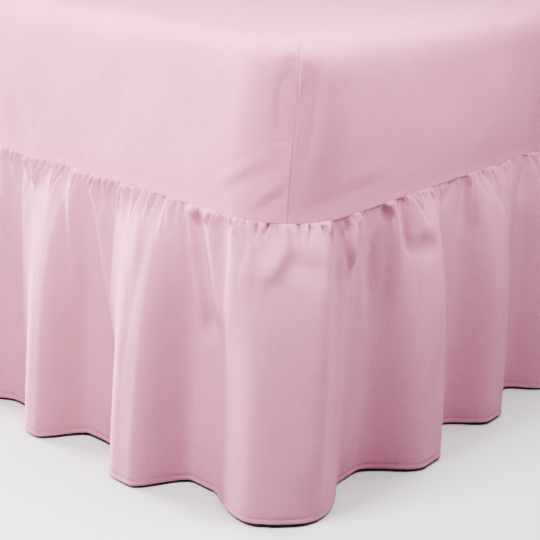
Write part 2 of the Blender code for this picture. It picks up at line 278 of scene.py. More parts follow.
def group_crests(places, draw):
    """Middles of uneven groups of two or three neighbours, and the group of each crest."""
    middles, parents, index = [], [], 0
    while index < len(places):
        size = min(draw.choice(GROUP_SIZES), len(places) - index)
        middles.append(float(np.mean(places[index : index + size])))
        parents += [middles[-1]] * size
        index += size
    return np.array(middles), np.array(parents)


def make_levels():
    """Places, parents, heights and fading of the crests at each level."""
    draw = random.Random(GATHER_SEED)
    count = round(PERIMETER / FINE_PITCH)
    wander = [draw.uniform(-CREST_WANDER, CREST_WANDER) for _ in range(count)]
    places = (np.arange(count) + wander) * PERIMETER / count
    made = []
    for height, at_seam, peak, fades in LEVELS:
        middles, parents = group_crests(places, draw)
        heights = np.array([height * draw.uniform(*HEIGHT_SPREAD) for _ in places])
        faded = np.array([draw.uniform(*fades) for _ in places])
        made.append((places, parents, heights, at_seam, peak, faded))
        places = middles
    return made


def ring_interp(along, places, values):
    """np.interp on a ring, where values may also be the places' own running number."""
    places = np.concatenate([places[-1:] - PERIMETER, places, places[:1] + PERIMETER])
    return np.interp(along, places, values)


def pleat(phase):
    """One pleat: pinched at 0, full at a quarter, and falling off to the next pinch at 1."""
    rise = phase / PLEAT_FULL
    return rise * np.exp(1 - rise) * (1 - ease((phase - PLEAT_FALLS) / (1 - PLEAT_FALLS)))


def from_nearest(along):
    """Signed distance from whichever corner is nearest."""
    gaps = np.stack([from_corner(along, corner) for corner in CORNERS])
    return np.choose(np.abs(gaps).argmin(axis=0), gaps)


def level_height(along, drop, level):
    """How far this level of gathers stands out along one row."""
    places, parents, heights, at_seam, peak, faded = level
    now = places + (parents - places) * ease(drop / faded.mean()) * RUN_TOGETHER
    along = along % PERIMETER
    crest = ring_interp(along, now, np.arange(-1, len(now) + 1))
    grown = at_seam + (1 - at_seam) * ease(drop / peak)
    here = heights * grown * (1 - ease((drop - peak) / (faded - peak)))
    size = ring_interp(along, now, np.concatenate([here[-1:], here, here[:1]]))
    phase = (crest + PLEAT_FULL) % 1.0
    toward = 0.5 + 0.5 * np.tanh(from_nearest(along) / TURN_ROUND)
    wave = pleat(phase) * (1 - toward) + pleat(1 - phase) * toward
    return size * (2 * wave - PLEAT_SINK)


GATHERS = make_levels()
print("crests at each level:", [len(level[0]) for level in GATHERS])

# %% [markdown]
# ## Creases placed one by one
#
# Beside the foot right corner the eye follows single creases, and a random level can't give
# those. Each one follows a curve through three stated points. Crisp cloth doesn't wave evenly:
# it is pinched into a sharp line and rolls over gently on one side of it, so a roll
# rises steeply from its line and falls off slowly. A roll of 0 is an even ridge, and a
# negative height is a trough. Each fades in over its lead and out over its tail. These tables are
# in millimetres, because they were placed like marks on a tape measure.

# %% Ridges along curves
MM_IN_METRE = 1000
CREASE_STEPS = 24
RIDGE_SPAN, ROLL_SPAN = 3, 6  # how many widths either side of its line a crease reaches
ROLL_SOFTNESS = 0.02  # rounds the sharp start of a roll
LEAD_START = 0.2  # a crease has begun to stand out at its very start


def roll_profile(away):
    """0 before the line, then a steep rise to 1 at one width, and a slow fall."""
    away = (away + np.sqrt(away**2 + ROLL_SOFTNESS)) / 2
    return away * np.exp(1 - away)


def crease_height(along, level, creases):
    """Height of the creases over a grid. Each row has its own level down or up the cloth."""
    near = from_corner(along)
    total = np.zeros_like(near)
    share = np.linspace(0, 1, CREASE_STEPS)[:, None]
    for *places, height, width, roll, lead, tail in creases:
        start, middle, end = np.array(places) / MM_IN_METRE
        height, width = height / MM_IN_METRE, width / MM_IN_METRE
        pull = 2 * middle - (start + end) / 2
        line = start * (1 - share) ** 2 + pull * 2 * share * (1 - share) + end * share**2
        margin = (ROLL_SPAN if roll else RIDGE_SPAN) * width
        least, most = line.min(axis=0) - margin, line.max(axis=0) + margin
        rows = np.flatnonzero((level > least[1]) & (level < most[1]))
        inside = (near[rows] > least[0]) & (near[rows] < most[0])
        patch = np.ix_(rows, np.flatnonzero(inside.any(axis=0)))
        here = np.stack(np.broadcast_arrays(near[patch], level[rows][:, None]), axis=-1)
        best, where, side = np.inf, 0.0, 0.0
        for step, (first, last) in enumerate(zip(line, line[1:])):
            leg = last - first
            t = np.clip(((here - first) @ leg) / (leg @ leg), 0, 1)
            away = here - first - t[..., None] * leg
            gap = np.linalg.norm(away, axis=-1)
            closer = gap < best
            where = np.where(closer, (step + t) / (CREASE_STEPS - 1), where)
            side = np.where(closer, away[..., 0] * leg[1] - away[..., 1] * leg[0], side)
            best = np.where(closer, gap, best)
        if roll:
            profile = roll_profile(np.sign(side) * roll * best / width)
        else:
            profile = np.exp(-((best / width) ** 2))
        taper = ease(where / lead + LEAD_START) * ease((1 - where) / tail)
        total[patch] += height * taper * profile
    return total


# %% Creases of the frill by the foot right corner
FRILL_CREASES = [
    # in mm: start along and drop, middle, end, height, width; then roll, lead, tail
    ((-605, 0), (-585, 80), (-565, 260), 11, 16, 1, 0.1, 0.5),
    ((-548, 0), (-528, 70), (-508, 200), 8, 12, 1, 0.1, 0.5),
    ((-516, 0), (-478, 20), (-444, 44), 4, 6, 1, 0.1, 0.2),
    ((-497, 0), (-468, 15), (-448, 34), 3.5, 5, 1, 0.1, 0.2),
    ((-486, 0), (-478, 140), (-474, 380), 8.5, 12, 1, 0.05, 0.5),
    ((-430, 0), (-428, 20), (-424, 65), 3.8, 6, 1, 0.1, 0.5),
    ((-388, 0), (-362, 85), (-348, 230), 12.5, 12, 1, 0.1, 0.55),
    ((-366, 0), (-362, 15), (-360, 38), 3, 5, 1, 0.1, 0.5),
    ((-346, 0), (-308, 110), (-276, 260), 9, 10, 1, 0.06, 0.35),
    ((-318, 0), (-314, 12), (-310, 32), 3, 5, 1, 0.1, 0.5),
    ((-284, 0), (-279, 120), (-273, 360), 9, 12, 1, 0.04, 0.5),
    ((-232, 2), (-213, 60), (-203, 140), 4.2, 10, 0, 0.1, 0.5),
    ((-196, 0), (-184, 18), (-174, 45), 4, 6, 1, 0.1, 0.5),
    ((-155, 0), (-135, 85), (-108, 190), 13, 12, 1, 0.08, 0.25),
    ((-137, 6), (-111, 95), (-90, 185), -14.5, 13, 0, 0.15, 0.15),
    ((-124, 0), (-98, 80), (-78, 180), 11, 13, 1, 0.08, 0.4),
    ((-81, 0), (-66, 90), (-62, 330), 8.5, 9, 1, 0.08, 0.4),
    ((-47, 0), (-34, 40), (-29, 95), 6.2, 9, -1, 0.1, 0.35),
    ((-32, 1), (-28, 10), (-20, 13), 2.2, 3, 0, 0.1, 0.3),
    ((-20, 4), (-22, 28), (-30, 50), -3.6, 7, 0, 0.1, 0.4),
    ((-4, 0), (-9, 40), (-34, 78), 10, 9, 0, 0.08, 0.3),
    ((7, 4), (11, 18), (18, 32), 1.8, 5, 0, 0.2, 0.3),
    ((22, 4), (26, 18), (32, 36), 1.8, 5, 0, 0.2, 0.3),
    ((4, 34), (20, 55), (46, 50), -6, 10, 0, 0.4, 0.4),
    ((66, 0), (45, 100), (41, 400), 9.5, 9, -1, 0.04, 0.12),
    ((86, 2), (71, 45), (58, 110), -10, 12, 0, 0.1, 0.4),
    ((68, 60), (61, 180), (57, 400), -9, 15, 0, 0.25, 0.15),
    ((121, 0), (98, 35), (104, 80), 12, 7, 0, 0.12, 0.2),
    ((109, 52), (110, 66), (101, 84), -3.2, 5, 0, 0.3, 0.3),
    ((184, 0), (154, 60), (160, 200), -12.5, 12, 0, 0.08, 0.5),
    ((192, 0), (192, 60), (188, 200), 12, 10, 0, 0.06, 0.5),
    ((227, 1), (219, 35), (212, 64), -12, 8, 0, 0.1, 0.2),
    ((206, 62), (236, 73), (272, 64), -10, 8, 0, 0.2, 0.2),
    ((252, 2), (247, 30), (250, 56), 8.5, 13, 0, 0.2, 0.2),
    ((312, 0), (278, 100), (268, 360), 9.5, 13, -1, 0.06, 0.35),
    ((374, 0), (353, 18), (336, 35), -6.5, 6, 0, 0.1, 0.2),
    ((406, 1), (398, 40), (380, 90), -8.5, 11, 0, 0.1, 0.4),
    ((421, 1), (416, 40), (410, 85), 8.5, 9, 0, 0.1, 0.4),
    ((452, 0), (462, 30), (476, 64), -6.8, 8, 0, 0.1, 0.3),
    ((502, 0), (474, 100), (466, 360), 11.5, 16, -1, 0.08, 0.35),
    ((548, 0), (552, 60), (562, 220), 6.5, 12, -1, 0.1, 0.45),
    ((597, 0), (586, 30), (560, 80), -8, 9, 0, 0.1, 0.25),
    ((628, 0), (622, 60), (618, 200), 8.5, 14, -1, 0.1, 0.45),
]
CREASED_HALF = 0.62  # how far from the corner the listed creases reach
print(len(FRILL_CREASES), "creases placed by hand")

# %% [markdown]
# ## The frill as a grid of points
#
# The frill is one strip, so its surface is a grid: columns go round the bed and rows go down.
# Pleats need a column every millimetre or so near the seam. Lower down every second and then
# every fourth column is enough. The last rows are the hem: a stitched line, a rounded edge, and
# the turned-up part behind.

# %% Rows and columns of the frill
COLUMNS = 4608
CLOSE_UP, CLOSE_FADE = 0.7, 0.15  # columns stand closer up to here, and then fan out again
CLOSENESS = 1.2
TUCKED = -0.006  # the frill starts this far above the sheet's edge, behind it
FINE_ROWS = [TUCKED, 0.0, 0.0015, 0.0035, 0.006, 0.009, 0.013, 0.018]
MIDDLE_ROWS = [0.024, 0.031, 0.039, 0.048, 0.058, 0.069, 0.081, 0.094, 0.108, 0.123, 0.139]
COARSE_ROWS = list(np.linspace(0.156, DROP - 0.014, 20))
HEM_ROWS = [
    # above the hem's edge, set back
    (0.0085, 0.0000),
    (0.0074, 0.0006),
    (0.0062, -0.0002),
    (0.0032, -0.0005),
    (0.0008, -0.0002),
    (0.0000, 0.0006),
    (0.0008, 0.0013),
    (0.0070, 0.0014),
]
AT_SEAM = 0.0028  # how far out the frill's top edge is held, behind the sheet's edge
SEAM_PLAY = 0.0002  # how far its gathers may sink there
SEAM_SET = 0.003  # the hem's reach is counted from this far outside the mattress
LEAST_OUT = 0.0012
HELD_DROP, FREE_DROP = 0.0015, 0.008  # where the gathers start to swell, and where they are free
HEM_UNEVEN = 0.0014
HEM_WAVES = [(23, 1.1, 0.6), (41, 0.2, 0.4)]  # waves round the bed, phase, share
HEM_DEPTH, HEM_FADE = 0.012, 0.006
PUCKER_PITCH, PUCKER_HEIGHT = 0.011, 0.00035
BY_HAND_FADE = 0.12
COARSE_LEVEL = 2  # from this level on, random gathers make way for the listed creases
MAKE_WAY = 0.85
DENSITY_SAMPLES = 20001


def crowded_columns(count, length, extra_density):
    """Places along a length that crowd where the extra density is high."""
    place = np.linspace(0, length, DENSITY_SAMPLES)
    density = 1 + extra_density(place)
    total = np.concatenate([[0], np.cumsum((density[1:] + density[:-1]) / 2)])
    return np.interp(np.arange(count) / count * total[-1], total, place)


seam_along = crowded_columns(
    COLUMNS,
    PERIMETER,
    lambda place: CLOSENESS * (1 - ease((np.abs(from_corner(place)) - CLOSE_UP) / CLOSE_FADE)),
)
drops = np.array(FINE_ROWS + MIDDLE_ROWS + COARSE_ROWS + [DROP - up for up, _ in HEM_ROWS])
set_back = np.array([0.0] * (len(drops) - len(HEM_ROWS)) + [back for _, back in HEM_ROWS])
print("columns from", round(np.diff(seam_along).min() * 1e3, 2), "mm to",
      round(np.diff(seam_along).max() * 1e3, 2), "mm apart;", len(drops), "rows")

# %% Points of the frill


def hem_unevenness(along):
    """The hem rises and dips a little, because cloth hangs unevenly."""
    turn = 2 * math.pi * along / PERIMETER
    return sum(np.cos(waves * turn + phase) * share for waves, phase, share in HEM_WAVES)


def gathers(along, drops, by_hand):
    """All levels of gathers over the grid, with the coarse ones left out where creases are."""
    rows = []
    for drop, made_way in zip(np.maximum(drops, 0.0), 1 - MAKE_WAY * by_hand):
        fine = sum(level_height(along, drop, level) for level in GATHERS[:COARSE_LEVEL])
        coarse = sum(level_height(along, drop, level) for level in GATHERS[COARSE_LEVEL:])
        rows.append(fine + coarse * made_way)
    return np.stack(rows)


def frill_points(seam_along, drops, set_back):
    """Grid of frill points, rows down and columns round the bed."""
    share = swing(drops)[:, None]
    lean = half_waves(seam_along, ridges, leans)
    along = seam_along + lean * share
    hem = half_waves(seam_along + lean, hem_places, hem_reaches)
    past = np.abs(from_corner(along)) - CREASED_HALF
    small = gathers(seam_along, drops, 1 - ease(past / BY_HAND_FADE + 0.5))
    small = small + crease_height(along, drops, FRILL_CREASES)
    at_hem = ease((drops - DROP + HEM_DEPTH) / HEM_FADE)[:, None]
    pucker = PUCKER_HEIGHT * at_hem * np.cos(2 * math.pi * seam_along / PUCKER_PITCH)
    stands = AT_SEAM + (hem - SEAM_SET) * share + small + pucker
    least = np.interp(drops, (0.0, FREE_DROP), (AT_SEAM - SEAM_PLAY, LEAST_OUT))[:, None]
    most = np.interp(drops, (0.0, HELD_DROP), (AT_SEAM, 1.0))[:, None]
    stands = np.clip(stands, least, most) - set_back[:, None]
    plan, out = outline(along)
    points = np.empty((*along.shape, 3))
    points[..., :2] = plan + out * stands[..., None]
    uneven = HEM_UNEVEN * hem_unevenness(seam_along) * share**3
    points[..., 2] = (SEAM_HEIGHT - drops)[:, None] + uneven
    return points


frill_grid = frill_points(seam_along, drops, set_back)
hem_line = frill_grid[[up for up, _ in HEM_ROWS].index(0.0) - len(HEM_ROWS)]
FULLNESS = np.linalg.norm(np.diff(hem_line[:, :2], axis=0), axis=1).sum() / PERIMETER
print("frill grid:", frill_grid.shape[:2], " hem is", round(FULLNESS, 3), "times the seam")

# %% [markdown]
# ## From grid to mesh
#
# `from_pydata` is slow on this many faces, so they are written straight into the mesh as NumPy
# arrays. Where a fine band meets one with half as many columns, each coarse face gets one extra
# corner on its upper edge. A UV map in metres of cloth lets the weave follow the threads.

# %% Banded mesh


def new_object(name, data):
    """An object with this data, linked into the scene."""
    obj = bpy.data.objects.new(name, data)
    bpy.context.scene.collection.objects.link(obj)
    return obj


def face_starts(sizes):
    return np.concatenate([[0], np.cumsum(sizes)[:-1]])


def mesh_from_arrays(name, points, loops, sizes, cloth_places):
    """A mesh object from points, face corners, corners per face, and a place in the cloth."""
    mesh = bpy.data.meshes.new(name)
    mesh.vertices.add(len(points))
    mesh.vertices.foreach_set("co", np.asarray(points, np.float32).ravel())
    mesh.loops.add(len(loops))
    mesh.loops.foreach_set("vertex_index", np.asarray(loops, np.int32))
    mesh.polygons.add(len(sizes))
    mesh.polygons.foreach_set("loop_start", face_starts(sizes).astype(np.int32))
    mesh.update(calc_edges=True)
    layer = mesh.uv_layers.new(name="cloth")
    layer.data.foreach_set("uv", np.asarray(cloth_places, np.float32).ravel())
    mesh.validate()
    mesh.shade_smooth()
    return new_object(name, mesh)


def banded_rings(rings):
    """Points and faces for closed rings of points, each as long as the last or half as long."""
    points = np.concatenate(rings)
    starts = np.concatenate([[0], np.cumsum([len(ring) for ring in rings])])
    loops, sizes = [], []
    for upper, lower, first, second in zip(rings, rings[1:], starts, starts[1:]):
        here = np.arange(len(lower))
        after = (here + 1) % len(lower)
        if len(upper) == len(lower):
            face = [first + here, second + here, second + after, first + after]
        else:
            twice = first + (2 * here + 2) % len(upper)
            face = [first + 2 * here, second + here, second + after, twice, first + 2 * here + 1]
        loops.append(np.stack(face, axis=1).ravel())
        sizes.append(np.full(len(lower), len(face)))
    return points, np.concatenate(loops), np.concatenate(sizes)


def close_ring(values, loops, sizes, whole):
    """Values at face corners, with the faces that cross the start of the ring made whole."""
    values = values[loops]
    most = np.repeat(np.maximum.reduceat(values, face_starts(sizes)), sizes)
    return np.where(most - values > whole / 2, values + whole, values)


def thin_out(rows, fine, middle):
    """Every column for the fine rows, every second for the middle ones, then every fourth."""
    steps = [1 if row < fine else 2 if row < middle else 4 for row in range(len(rows))]
    return [row[::step] for row, step in zip(rows, steps)]


fine, middle = len(FINE_ROWS), len(FINE_ROWS) + len(MIDDLE_ROWS)
points, loops, sizes = banded_rings(thin_out(frill_grid, fine, middle))
cut_along = np.concatenate(thin_out([seam_along * FULLNESS] * len(drops), fine, middle))
cut_drop = [np.full(COLUMNS, drop) for drop in drops + set_back]
cut_drop = np.concatenate(thin_out(cut_drop, fine, middle))
cloth_places = [close_ring(cut_along, loops, sizes, PERIMETER * FULLNESS), cut_drop[loops]]
frill = mesh_from_arrays("frill_cloth", points, loops, sizes, np.stack(cloth_places, axis=-1))
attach(frill, "root")
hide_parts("frill")
print("frill faces:", len(frill.data.polygons))

# %% [markdown]
# ## The fitted sheet
#
# The sheet is one cut of cloth with a square notch at each corner. Sewing the notch shut makes
# the box shape, and leaves a dart seam from the lower edge up to a small ear by the deck. We
# build it as rings again: up the box side, over the crown, and in across the deck. The columns
# crowd together beside each dart, and one of them follows the seam exactly.

# %% Columns and rows of the sheet
SHEET_COLUMNS = (792, 504) * 2  # on a long side and on a short end, multiples of eight
DART_CROWDING = 14.0  # how much closer the columns stand at a dart
DART_SPREAD, DART_FALLOFF = 0.022, 0.8
SIDE_TOP = MATTRESS_TOP - CROWN
OVER_CROWN = SIDE_TOP + CROWN * math.pi / 2
DECK_INSET = 0.085  # deck rings keep the rounded outline as far in as this
EDGE_HEIGHT = SEAM_HEIGHT - 0.0015


def sheet_columns():
    """Distances round the bed that crowd together at the darts, with one on each corner."""
    found = []
    for start, count, length in zip(CORNERS, SHEET_COLUMNS, STRAIGHTS + 2 * HALF_TURN):

        def extra_density(place):
            near = np.minimum(place, length - place)
            return DART_CROWDING * np.exp(-((near / DART_SPREAD) ** DART_FALLOFF))

        found.append(start + crowded_columns(count, length, extra_density))
    return np.concatenate(found)


EDGE_ROWS = [0.0, 0.0012, 0.003, 0.006, 0.010, 0.015]
SIDE_ROWS = list(np.linspace(0.021, SIDE_TOP - EDGE_HEIGHT, 34))
CROWN_ROWS = list(CROWN * np.linspace(0, math.pi / 2, 15)[1:])
INSET_ROWS = [0.005, 0.011, 0.018, 0.026, 0.033, DECK_INSET - CROWN]
DECK_ROWS = 14
sheet_along = sheet_columns()
climb = EDGE_HEIGHT + np.array(EDGE_ROWS + SIDE_ROWS)
over_crown = SIDE_TOP + np.array(CROWN_ROWS)
climb = np.concatenate([climb, over_crown, OVER_CROWN + np.array(INSET_ROWS)])
print("sheet columns:", len(sheet_along), " rows before the open deck:", len(climb))

# %% [markdown]
# ## What the sheet's surface does
#
# Stretched cloth over a soft edge is never flat. The dart stands up like a low ridge with a
# stitched ditch, its spare cloth lies under its left side, and it ends in a small ear. Beside it
# are hollows where the cloth spans the corner, and drags that run from it down to the seam. A few
# long waves of about a millimetre do the rest, and stop where the deck begins.

# %% Relief of the sheet
DART_RISE, DART_WIDTH = 0.0010, 0.009
DITCH_DEPTH, DITCH_WIDTH = 0.0005, 0.0013
LIP_RISE, LIP_WIDTH, LIP_EDGE = 0.0009, 0.005, 0.0008
DART_TOP = 0.0024  # the seam's upper end lies this far towards the head of the bed
DART_FOOT = -0.0010  # and its lower end this far the other way
DART_BEND = 0.16  # it bends over this height, below the crown
DART_SHIFT = 0.05  # columns within this distance of the dart bend with it
DART_ENDS, DART_FADE = 0.012, 0.020  # it fades out from this far below the deck, over this length
EAR_RISE, EAR_BELOW, EAR_WIDTH, EAR_LENGTH = 0.0035, 0.022, 0.006, 0.014
HIDDEN_CORNERS = 0.8  # share of the creases and dents that the other corners have
WAVES_START, WAVES_STOP = 0.06, 0.03  # the long waves grow and end over these lengths

SHEET_CREASES = [
    # in mm: start along and climb, middle, end, height, width; then roll, lead, tail
    ((-1, 626), (-13, 622), (-27, 614), 2.2, 7, 1, 0.15, 0.5),
    ((2, 624), (15, 617), (30, 607), 1.4, 7, -1, 0.15, 0.5),
    ((12, 662), (120, 641), (420, 645), 1.6, 8, 0, 0.15, 0.5),
    ((-8, 494), (-58, 465), (-112, 427), -1.1, 8, 0, 0.4, 0.5),
    ((-30, 503), (-75, 472), (-115, 444), 1.4, 7, 0, 0.4, 0.5),
    ((-3, 454), (-24, 438), (-48, 418), -1.1, 6, 0, 0.2, 0.5),
    ((-4, 472), (-34, 449), (-62, 426), 1.4, 6, 0, 0.3, 0.5),
    ((-4, 529), (-18, 527), (-34, 525), 1, 3, 0, 0.2, 0.6),
    ((-4, 522), (-18, 520), (-32, 519), -1, 3, 0, 0.2, 0.6),
    ((-4, 515), (-20, 513), (-36, 511), 0.8, 3, 0, 0.2, 0.6),
    ((4, 590), (14, 586), (22, 580), 0.8, 3, 0, 0.2, 0.5),
    ((6, 531), (20, 534), (36, 534), -1.2, 4, 0, 0.2, 0.5),
    ((20, 434), (110, 443), (215, 447), -2.2, 10, 0, 0.3, 0.5),
    ((70, 462), (130, 464), (200, 470), 1.4, 14, 0, 0.4, 0.5),
    ((-480, 420), (-505, 470), (-520, 540), -1.8, 16, 0, 0.4, 0.5),
    ((-560, 415), (-575, 460), (-570, 520), -1.6, 14, 0, 0.4, 0.5),
]
SHEET_DENTS = [
    # along: start, deepest, end; climb: bottom, deepest, top; depth
    ((-0.034, -0.001, 0.006), (0.48, 0.586, 0.636), 0.0085),
    ((-0.004, 0.014, 0.044), (0.45, 0.574, 0.64), 0.007),
    ((-0.032, -0.014, 0.002), (0.62, 0.641, 0.662), -0.002),
    ((0.002, 0.018, 0.04), (0.622, 0.641, 0.662), -0.0018),
    ((-0.27, -0.15, -0.04), (0.55, 0.6, 0.65), 0.001),
    ((0.14, 0.3, 0.46), (0.51, 0.56, 0.61), 0.0012),
]
LONG_WAVES = [
    # waves round the bed, waves per metre of climb, height
    (7, 2.1, 0.0012),
    (11, -3.4, 0.0010),
    (19, 1.6, 0.0008),
    (31, 5.2, 0.0005),
    (44, -4.1, 0.0004),
]


def dart_place(climb):
    """How far round the bed the dart seam is from its corner, at this climb."""
    return DART_TOP + (DART_FOOT - DART_TOP) * ease((SIDE_TOP - climb) / DART_BEND)


def dent(place, start, deepest, end):
    """0 outside, and 1 at the deepest place, which may lie nearer to one end."""
    falling = ease((place - start) / (deepest - start))
    return np.where(place < deepest, falling, 1 - ease((place - deepest) / (end - deepest)))


def long_waves(along, climb):
    phases = random.Random(WAVE_SEED)
    turn = 2 * math.pi * along / PERIMETER
    total = 0.0
    for around, upward, height in LONG_WAVES:
        phase = phases.uniform(0, 2 * math.pi)
        total = total + height * np.cos(around * turn + 2 * math.pi * upward * climb + phase)
    return total


def sheet_relief(along, climb):
    """How far the sheet stands off its plain form, for rows of one climb each."""
    gap = from_nearest(along) - dart_place(climb)[:, None]
    level = climb[:, None]
    dart = DART_RISE * np.exp(-np.abs(gap) / DART_WIDTH)
    dart = dart - DITCH_DEPTH * np.exp(-((gap / DITCH_WIDTH) ** 2))
    lip = np.exp(gap / LIP_WIDTH) * (gap < 0) * np.minimum(-gap / LIP_EDGE, 1)
    dart = dart + LIP_RISE * lip
    above_deck = (level - OVER_CROWN + EAR_BELOW) / EAR_LENGTH
    ear = EAR_RISE * np.exp(-((gap / EAR_WIDTH) ** 2) - above_deck**2)
    relief = dart * (1 - ease((level - OVER_CROWN + DART_ENDS) / DART_FADE)) + ear
    for index, corner in enumerate(CORNERS):
        share = HIDDEN_CORNERS if index else 1.0
        mirrored = from_corner(along, corner) * (-1) ** index
        relief = relief + share * crease_height(mirrored, climb, SHEET_CREASES)
        for across, upward, depth in SHEET_DENTS:
            relief = relief - share * depth * dent(mirrored, *across) * dent(level, *upward)
    waves = long_waves(along, level) * ease((level - EDGE_HEIGHT) / WAVES_START)
    return relief + waves * (1 - ease((level - OVER_CROWN) / WAVES_STOP))


sheet_grid_along = sheet_along + dart_place(climb)[:, None] * np.exp(
    -((from_nearest(sheet_along) / DART_SHIFT) ** 2)
)
relief = sheet_relief(sheet_grid_along, climb)
print("relief of the sheet, mm:", round(relief.min() * 1e3, 1), "to", round(relief.max() * 1e3, 1))

# %% Points of the sheet
EDGE_PROUD, EDGE_DEPTH = 0.0013, 0.012  # the sheet's edge stands over the top of the frill
EDGE_PUCKER, EDGE_PUCKER_HEIGHT, PUCKER_DROP = 0.25, 0.010, 0.003  # the gathers show in it
LEAST_OVER = 0.0009
FIRM_EDGE = 0.0055  # the cloth is pulled over the mattress's taped edge, so its bend is tighter
DECK_OVER = 0.0016
DECK_LIFT = 0.0012
DECK_WAVES = [(5.1, 3.3, 0, 0.0011), (11, -7, 1, 0.0009)]  # across, along, phase, height
NEARLY = 0.9  # a face counts as deck from this share of the crown's width inwards
DECK_SPACING = 1.15  # more than one puts the deck's rings closer at its rim
DECK_FINE = 2  # this many of them keep every second column, and the rest every fourth
DECK_GROWTH = 3  # its waves have their full height a third of the way in
ROUNDING = 1e-9
MEETING = 1e-5  # points closer than this are one, where the deck's rings meet on its middle line
NO_LENGTH = 1e-6


def sheet_points():
    """Grid of sheet points, from the lower edge up and over the crown onto the deck."""
    side = climb <= SIDE_TOP
    crown = (climb > SIDE_TOP) & (climb <= OVER_CROWN + ROUNDING)
    angle = np.where(crown, (climb - SIDE_TOP) / CROWN, np.where(side, 0.0, math.pi / 2))
    inset = CROWN * (1 - np.cos(angle)) + np.maximum(climb - OVER_CROWN, 0.0)
    height = np.where(side, climb, SIDE_TOP + CROWN * np.sin(angle))
    lie = np.where(side, CLOTH_OUT, CLOTH_OUT + (DECK_OVER - CLOTH_OUT) * np.sin(angle))
    edge = EDGE_PROUD * (1 - ease((climb - EDGE_HEIGHT) / EDGE_DEPTH))
    firm = FIRM_EDGE * np.sin(2 * angle) ** 2
    fading = 1 - ease((climb - EDGE_HEIGHT) / EDGE_PUCKER_HEIGHT)
    pucker = level_height(sheet_along, PUCKER_DROP, GATHERS[0]) * EDGE_PUCKER * fading[:, None]
    off = np.maximum((lie + edge + firm)[:, None] + relief + pucker, LEAST_OVER)
    plan, out = outline(sheet_grid_along)
    points = np.empty((*off.shape, 3))
    reach = off * np.cos(angle)[:, None] - inset[:, None]
    points[..., :2] = plan + out * reach[..., None]
    points[..., 2] = height[:, None] + off * np.sin(angle)[:, None]
    return points


def open_deck(rim):
    """Rings from the last rounded ring in to a middle line along the bed."""
    half_line = HALF_LENGTH - HALF_WIDTH
    middle = np.stack([np.zeros(len(rim)), np.clip(rim[:, 1], -half_line, half_line)], -1)
    rings = []
    for step in range(1, DECK_ROWS + 1):
        share = (step / DECK_ROWS) ** DECK_SPACING
        every = 2 if step <= DECK_FINE else 4
        ring = rim[::every].copy()
        ring[:, :2] += (middle[::every] - ring[:, :2]) * share
        wave = sum(
            high * np.cos(across * ring[:, 0] + along * ring[:, 1] + phase)
            for across, along, phase, high in DECK_WAVES
        )
        lift = MATTRESS_TOP + DECK_OVER + DECK_LIFT + wave - ring[:, 2]
        ring[:, 2] += lift * ease(share * DECK_GROWTH)
        rings.append(ring)
    return rings


def sheet_places(points, along, loops, sizes):
    """Places in the cut cloth: round and up on the box sides, plan places on the deck."""
    round_and_up = np.stack([close_ring(along, loops, sizes, PERIMETER), -points[loops, 2]], -1)
    inward = ((HALF_WIDTH, HALF_LENGTH) - np.abs(points[loops, :2])).min(axis=1)
    inmost = np.repeat(np.minimum.reduceat(inward, face_starts(sizes)), sizes)
    return np.where((inmost > CROWN * NEARLY)[:, None], points[loops, :2], round_and_up)


grid = sheet_points()
bands = len(EDGE_ROWS), len(grid)
deck_rings = open_deck(grid[-1])
points, loops, sizes = banded_rings(thin_out(grid, *bands) + deck_rings)
deck_along = [sheet_along[:: len(sheet_along) // len(ring)] for ring in deck_rings]
along = np.concatenate(thin_out(sheet_grid_along, *bands) + deck_along)
cloth_places = sheet_places(points, along, loops, sizes)
sheet = mesh_from_arrays("sheet_cloth", points, loops, sizes, cloth_places)
tidy = bmesh.new()
tidy.from_mesh(sheet.data)
bmesh.ops.remove_doubles(tidy, verts=tidy.verts, dist=MEETING)
bmesh.ops.dissolve_degenerate(tidy, edges=tidy.edges, dist=NO_LENGTH)
tidy.to_mesh(sheet.data)
tidy.free()
sheet.data.shade_smooth()
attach(sheet, "root")
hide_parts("sheet")
print("sheet faces:", len(sheet.data.polygons))

# %% [markdown]
# ## Threads
#
# Each dart is closed with a lockstitch, whose thread shows in the ditch of the seam. The hem has
# another row. A stitch is a short thread that dips into the cloth at both ends, so each one is a
# small four-sided spindle, and all of them are one mesh, because many objects are slow.

# %% Rows of stitches
THREAD = 0.00038  # half thickness, about twice the real thread, so that it shows
STITCH = 0.0024
STITCH_STEP = 0.0033
ASIDE = 0.001  # a second path this far out tells which way each stitch faces
SPINDLE = [
    # share of the stitch's length, share of its thickness, half thicknesses outwards
    (0.00, 0.25, -0.8),
    (0.18, 0.90, 0.4),
    (0.82, 0.90, 0.4),
    (1.00, 0.25, -0.8),
]
SPINDLE_SIDES = ((1, 0), (0, 1), (-1, 0), (0, -1))  # outwards and sideways
SPINDLE_FACES = [
    (4 * band + k, 4 * band + (k + 1) % 4, 4 * band + 4 + (k + 1) % 4, 4 * band + 4 + k)
    for band in range(len(SPINDLE) - 1)
    for k in range(4)
] + [(3, 2, 1, 0), (12, 13, 14, 15)]
HEM_STITCH_ROW = len(drops) - len(HEM_ROWS) + 1
DART_CLIMB = (SEAM_HEIGHT + 0.004, OVER_CROWN - 0.012)


def places_along(path, first, step):
    """Points at even distances along a path."""
    lengths = np.linalg.norm(np.diff(path, axis=0), axis=1)
    total = np.concatenate([[0], np.cumsum(lengths)])
    wanted = np.arange(first, total[-1] - STITCH, step)
    return np.stack([np.interp(wanted, total, path[:, axis]) for axis in range(3)], axis=-1)


def unit(vectors):
    return vectors / np.linalg.norm(vectors, axis=1)[:, None]


